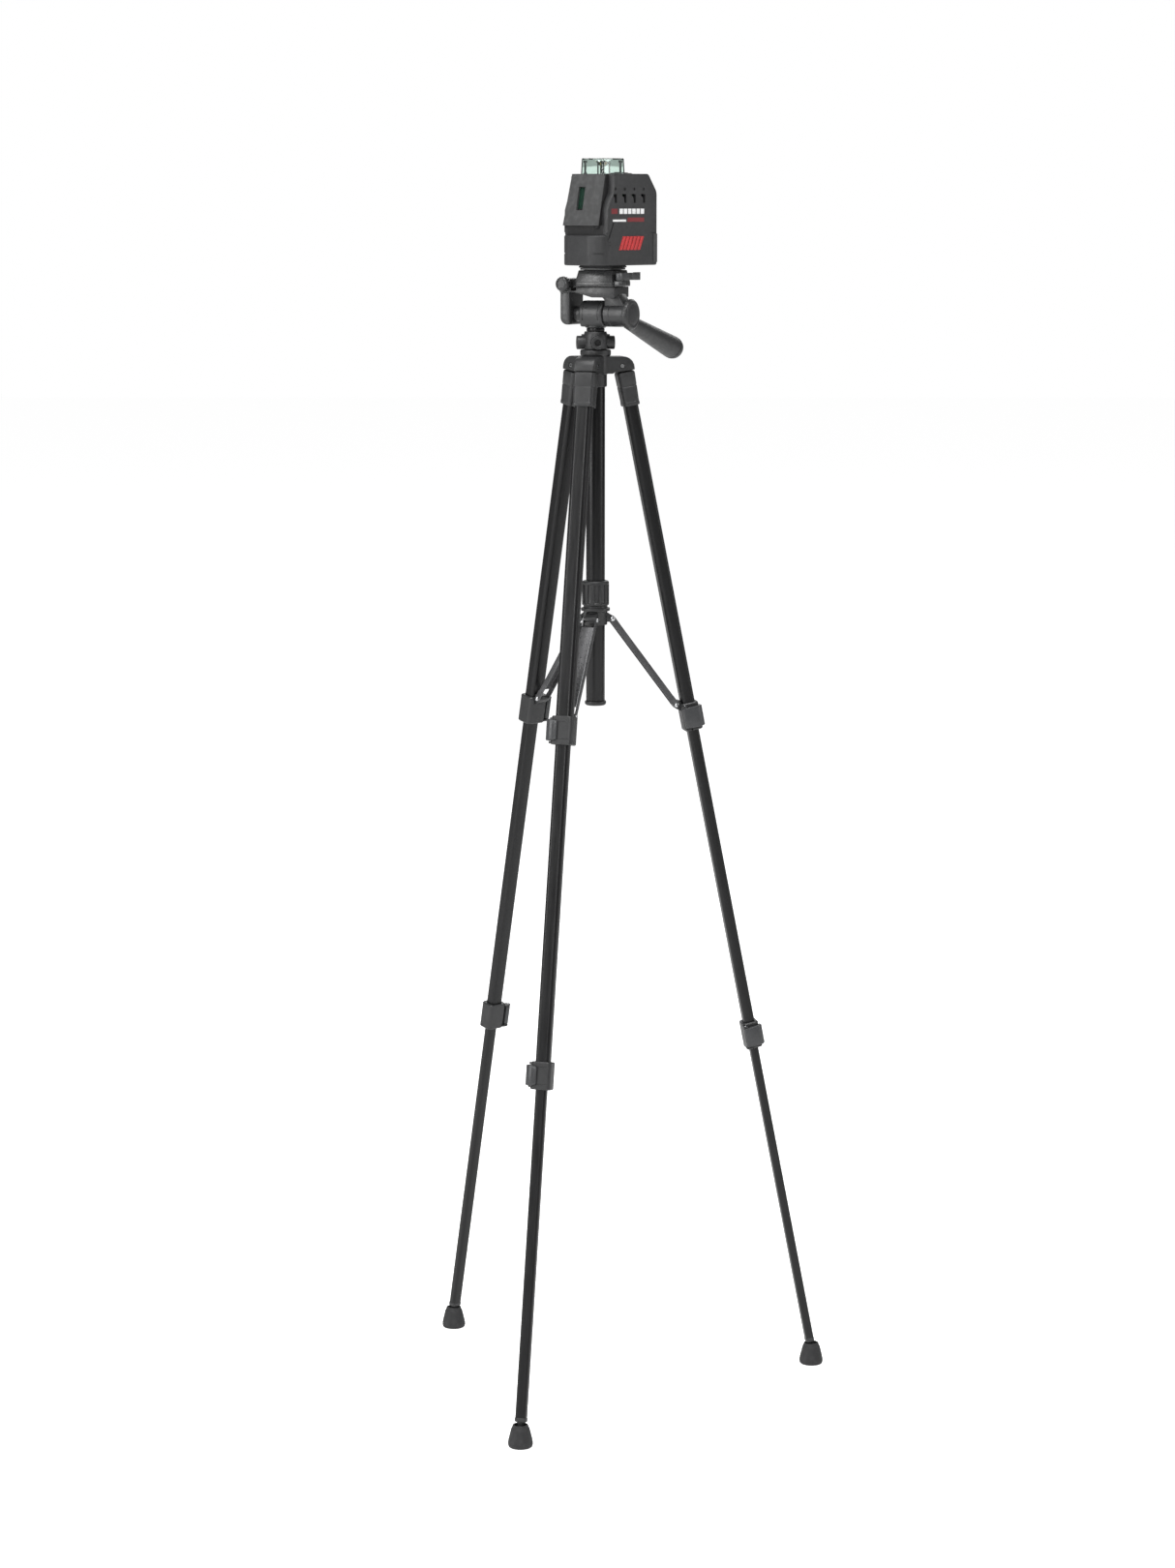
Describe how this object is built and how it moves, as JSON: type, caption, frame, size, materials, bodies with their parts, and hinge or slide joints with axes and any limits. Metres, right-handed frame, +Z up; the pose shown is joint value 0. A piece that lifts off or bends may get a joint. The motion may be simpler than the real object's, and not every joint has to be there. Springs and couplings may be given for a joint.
{
  "type": "laser level on tripod",
  "caption": "Cross-line laser level standing on a telescopic camera tripod with a three-way pan head, spread legs, braces and rubber feet.",
  "frame": {"origin": "on the floor, at the middle of the footprint's bounding box; the column's axis is at x -0.0391 m, y 0.0242 m", "axes": "+Z up along the centre column; +X is close to the right leg's direction (it stands 11.4 degrees from it); -Y faces the side the picture was taken from"},
  "size_m": [0.4278, 0.442, 1.3216],
  "materials": {
    "cast_plastic": "satin",
    "gloss_trim": "satin",
    "anodised_tube": "satin",
    "soft_rubber": "matte",
    "plain_steel": "satin",
    "laser_plastic": "matte",
    "clear_glass": "gloss",
    "green_glass": "gloss",
    "mirror_metal": "polished",
    "brass_parts": "satin",
    "board_green": "satin",
    "battery_wrap": "satin"
  },
  "bodies": {
    "tripod_centre": {"hub_casting": "cast_plastic", "outer_centre_tube": "anodised_tube", "centre_tube_end_cap": "cast_plastic"},
    "column": {"centre_column": "anodised_tube"},
    "column_lock": {"column_lock_nut": "cast_plastic"},
    "brace_collar": {"brace_collar": "cast_plastic"},
    "right_leg_upper": {"right_leg_top_casting": "cast_plastic", "right_leg_upper_tube": "anodised_tube", "right_leg_upper_clamp": "cast_plastic"},
    "right_upper_lever": {"right_leg_upper_lever": "gloss_trim"},
    "right_leg_middle": {"right_leg_middle_tube": "anodised_tube", "right_leg_lower_clamp": "cast_plastic"},
    "right_lower_lever": {"right_leg_lower_lever": "gloss_trim"},
    "right_leg_lower": {"right_leg_lower_tube": "anodised_tube"},
    "right_foot": {"right_foot": "soft_rubber"},
    "right_brace": {"right_brace": "anodised_tube"},
    "left_leg_upper": {"left_leg_top_casting": "cast_plastic", "left_leg_upper_tube": "anodised_tube", "left_leg_upper_clamp": "cast_plastic"},
    "left_upper_lever": {"left_leg_upper_lever": "gloss_trim"},
    "left_leg_middle": {"left_leg_middle_tube": "anodised_tube", "left_leg_lower_clamp": "cast_plastic"},
    "left_lower_lever": {"left_leg_lower_lever": "gloss_trim"},
    "left_leg_lower": {"left_leg_lower_tube": "anodised_tube"},
    "left_foot": {"left_foot": "soft_rubber"},
    "left_brace": {"left_brace": "anodised_tube"},
    "front_leg_upper": {"front_leg_top_casting": "cast_plastic", "front_leg_upper_tube": "anodised_tube", "front_leg_upper_clamp": "cast_plastic"},
    "front_upper_lever": {"front_leg_upper_lever": "gloss_trim"},
    "front_leg_middle": {"front_leg_middle_tube": "anodised_tube", "front_leg_lower_clamp": "cast_plastic"},
    "front_lower_lever": {"front_leg_lower_lever": "gloss_trim"},
    "front_leg_lower": {"front_leg_lower_tube": "anodised_tube"},
    "front_foot": {"front_foot": "soft_rubber"},
    "front_brace": {"front_brace": "anodised_tube"},
    "pan": {"pan_base": "cast_plastic"},
    "tilt": {"tilt_bracket": "cast_plastic", "tilt_end_cap": "gloss_trim"},
    "handle": {"handle_rod": "plain_steel", "handle_grip": "soft_rubber"},
    "flip": {"flip_platform": "cast_plastic"},
    "flip_knob": {"flip_lock_knob": "cast_plastic"},
    "plate": {"quick_release_plate": "cast_plastic", "quick_release_pad": "soft_rubber"},
    "quick_release_lever": {"quick_release_lever": "gloss_trim"},
    "camera_screw": {"camera_screw": "plain_steel"},
    "laser": {"laser_housing": "laser_plastic", "laser_visor": "soft_rubber", "laser_front_window": "green_glass", "laser_glass_cover": "clear_glass", "battery_pack": "battery_wrap", "circuit_board": "board_green"},
    "battery_door": {"battery_door": "laser_plastic"},
    "lock_switch": {"lock_switch": "gloss_trim"},
    "keypad": {"keypad": "soft_rubber"},
    "gimbal": {"gimbal_ring": "brass_parts"},
    "pendulum": {"pendulum": "brass_parts", "cone_mirror": "mirror_metal"}
  },
  "joints": [
    {"name": "right_leg_spread", "type": "hinge", "parent": "tripod_centre", "child": "right_leg_upper", "pos_m": [-0.01309, 0.02945, 1.106], "axis": [0.1977, -0.9803, 0], "range_deg": [-11.2, 0]},
    {"name": "right_leg_middle_slide", "type": "slide", "parent": "right_leg_upper", "child": "right_leg_middle", "axis": [0.1904, 0.0384, -0.981], "range_m": [-0.32, 0]},
    {"name": "right_leg_lower_slide", "type": "slide", "parent": "right_leg_middle", "child": "right_leg_lower", "axis": [0.1904, 0.0384, -0.981], "range_m": [-0.32, 0]},
    {"name": "right_upper_lever_flip", "type": "hinge", "parent": "right_leg_upper", "child": "right_upper_lever", "pos_m": [0.05888, 0.02825, 0.7303], "axis": [0.1904, 0.0384, -0.981], "range_deg": [0, 100]},
    {"name": "right_lower_lever_flip", "type": "hinge", "parent": "right_leg_middle", "child": "right_lower_lever", "pos_m": [0.12721, 0.04305, 0.37726], "axis": [0.1904, 0.0384, -0.981], "range_deg": [0, 100]},
    {"name": "right_foot_swivel", "type": "hinge", "parent": "right_leg_lower", "child": "right_foot", "pos_m": [0.20108, 0.07263, 0.017], "axis": [0.1977, -0.9803, 0], "range_deg": [-5, 11.2]},
    {"name": "right_brace_swing", "type": "hinge", "parent": "right_leg_upper", "child": "right_brace", "pos_m": [0.04643, 0.04145, 0.744], "axis": [0.1977, -0.9803, 0], "range_deg": [-26.12, 0.1]},
    {"name": "left_leg_spread", "type": "hinge", "parent": "tripod_centre", "child": "left_leg_upper", "pos_m": [-0.05659, 0.04409, 1.106], "axis": [0.7501, 0.6613, 0], "range_deg": [-11.2, 0]},
    {"name": "left_leg_middle_slide", "type": "slide", "parent": "left_leg_upper", "child": "left_leg_middle", "axis": [-0.1284, 0.1457, -0.981], "range_m": [-0.32, 0]},
    {"name": "left_leg_lower_slide", "type": "slide", "parent": "left_leg_middle", "child": "left_leg_lower", "axis": [-0.1284, 0.1457, -0.981], "range_m": [-0.32, 0]},
    {"name": "left_upper_lever_flip", "type": "hinge", "parent": "left_leg_upper", "child": "left_upper_lever", "pos_m": [-0.09154, 0.10702, 0.7303], "axis": [-0.1284, 0.1457, -0.981], "range_deg": [0, 100]},
    {"name": "left_lower_lever_flip", "type": "hinge", "parent": "left_leg_middle", "child": "left_lower_lever", "pos_m": [-0.13852, 0.15879, 0.37726], "axis": [-0.1284, 0.1457, -0.981], "range_deg": [0, 100]},
    {"name": "left_foot_swivel", "type": "hinge", "parent": "left_leg_lower", "child": "left_foot", "pos_m": [-0.20108, 0.20797, 0.017], "axis": [0.7501, 0.6613, 0], "range_deg": [-5, 11.2]},
    {"name": "left_brace_swing", "type": "hinge", "parent": "left_leg_upper", "child": "left_brace", "pos_m": [-0.09675, 0.08964, 0.744], "axis": [0.7501, 0.6613, 0], "range_deg": [-26.12, 0.1]},
    {"name": "front_leg_spread", "type": "hinge", "parent": "tripod_centre", "child": "front_leg_upper", "pos_m": [-0.04752, -0.0009, 1.106], "axis": [-0.9478, 0.319, 0], "range_deg": [-11.2, 0]},
    {"name": "front_leg_middle_slide", "type": "slide", "parent": "front_leg_upper", "child": "front_leg_middle", "axis": [-0.062, -0.1841, -0.981], "range_m": [-0.32, 0]},
    {"name": "front_leg_lower_slide", "type": "slide", "parent": "front_leg_middle", "child": "front_leg_lower", "axis": [-0.062, -0.1841, -0.981], "range_m": [-0.32, 0]},
    {"name": "front_upper_lever_flip", "type": "hinge", "parent": "front_leg_upper", "child": "front_upper_lever", "pos_m": [-0.08454, -0.06263, 0.7303], "axis": [-0.062, -0.1841, -0.981], "range_deg": [0, 100]},
    {"name": "front_lower_lever_flip", "type": "hinge", "parent": "front_leg_middle", "child": "front_lower_lever", "pos_m": [-0.10589, -0.1292, 0.37726], "axis": [-0.062, -0.1841, -0.981], "range_deg": [0, 100]},
    {"name": "front_foot_swivel", "type": "hinge", "parent": "front_leg_lower", "child": "front_foot", "pos_m": [-0.11721, -0.20797, 0.017], "axis": [-0.9478, 0.319, 0], "range_deg": [-5, 11.2]},
    {"name": "front_brace_swing", "type": "hinge", "parent": "front_leg_upper", "child": "front_brace", "pos_m": [-0.06689, -0.05845, 0.744], "axis": [-0.9478, 0.319, 0], "range_deg": [-26.12, 0.1]},
    {"name": "brace_collar_slide", "type": "slide", "parent": "tripod_centre", "child": "brace_collar", "axis": [0, 0, 1], "range_m": [-0.0002, 0.01853]},
    {"name": "column_slide", "type": "slide", "parent": "tripod_centre", "child": "column", "axis": [0, 0, 1], "range_m": [0, 0.25]},
    {"name": "column_lock_turn", "type": "hinge", "parent": "tripod_centre", "child": "column_lock", "pos_m": [-0.03907, 0.02421, 1.1305], "axis": [0, 0, 1], "range_deg": [0, 90]},
    {"name": "pan", "type": "hinge", "parent": "column", "child": "pan", "pos_m": [-0.03907, 0.02421, 1.15], "axis": [0, 0, 1], "continuous": true},
    {"name": "tilt", "type": "hinge", "parent": "pan", "child": "tilt", "pos_m": [-0.03907, 0.02421, 1.16], "axis": [0.8829, -0.4695, 0], "range_deg": [-20, 80]},
    {"name": "handle_twist", "type": "hinge", "parent": "tilt", "child": "handle", "pos_m": [-0.01435, 0.01107, 1.158], "axis": [0.4501, 0.8466, -0.284], "range_deg": [0, 180]},
    {"name": "flip", "type": "hinge", "parent": "tilt", "child": "flip", "pos_m": [-0.06291, 0.03689, 1.1915], "axis": [-0.4695, -0.8829, 0], "range_deg": [0, 90]},
    {"name": "flip_knob_turn", "type": "hinge", "parent": "tilt", "child": "flip_knob", "pos_m": [-0.06291, 0.03689, 1.1915], "axis": [-0.4695, -0.8829, 0], "range_deg": [0, 180]},
    {"name": "plate_lift", "type": "slide", "parent": "flip", "child": "plate", "axis": [0, 0, 1], "range_m": [0, 0.02]},
    {"name": "quick_release_lever_swing", "type": "hinge", "parent": "flip", "child": "quick_release_lever", "pos_m": [-0.01339, -0.00417, 1.199], "axis": [0, 0, -1], "range_deg": [0, 50]},
    {"name": "camera_screw_turn", "type": "hinge", "parent": "plate", "child": "camera_screw", "pos_m": [-0.03157, 0.02022, 1.2], "axis": [0, 0, 1], "continuous": true},
    {"name": "laser_turn", "type": "hinge", "parent": "plate", "child": "laser", "pos_m": [-0.03157, 0.02022, 1.211], "axis": [0, 0, 1], "continuous": true},
    {"name": "battery_door_swing", "type": "hinge", "parent": "laser", "child": "battery_door", "pos_m": [0.00584, 0.05763, 1.2248], "axis": [-0.7071, 0.7071, 0], "range_deg": [0, 100]},
    {"name": "lock_switch_slide", "type": "slide", "parent": "laser", "child": "lock_switch", "axis": [-0.7071, -0.7071, 0], "range_m": [0, 0.008]},
    {"name": "keypad_press", "type": "slide", "parent": "laser", "child": "keypad", "axis": [0, 0, -1], "range_m": [0, 0.0008], "stiffness_N_per_m": 800},
    {"name": "gimbal_swing", "type": "hinge", "parent": "laser", "child": "gimbal", "pos_m": [-0.03157, 0.02022, 1.2951], "axis": [0.7071, -0.7071, 0], "range_deg": [-4, 4]},
    {"name": "pendulum_swing", "type": "hinge", "parent": "gimbal", "child": "pendulum", "pos_m": [-0.03157, 0.02022, 1.2951], "axis": [-0.7071, -0.7071, 0], "range_deg": [-4, 4]}
  ],
  "couplings": [
    {"joint": "right_brace_swing", "follows": "right_leg_spread", "ratio": 2.3235},
    {"joint": "left_leg_spread", "follows": "right_leg_spread", "ratio": 1},
    {"joint": "left_brace_swing", "follows": "right_leg_spread", "ratio": 2.3235},
    {"joint": "front_leg_spread", "follows": "right_leg_spread", "ratio": 1},
    {"joint": "front_brace_swing", "follows": "right_leg_spread", "ratio": 2.3235},
    {"joint": "brace_collar_slide", "follows": "right_leg_spread", "m_per_rad": -0.09375}
  ]
}
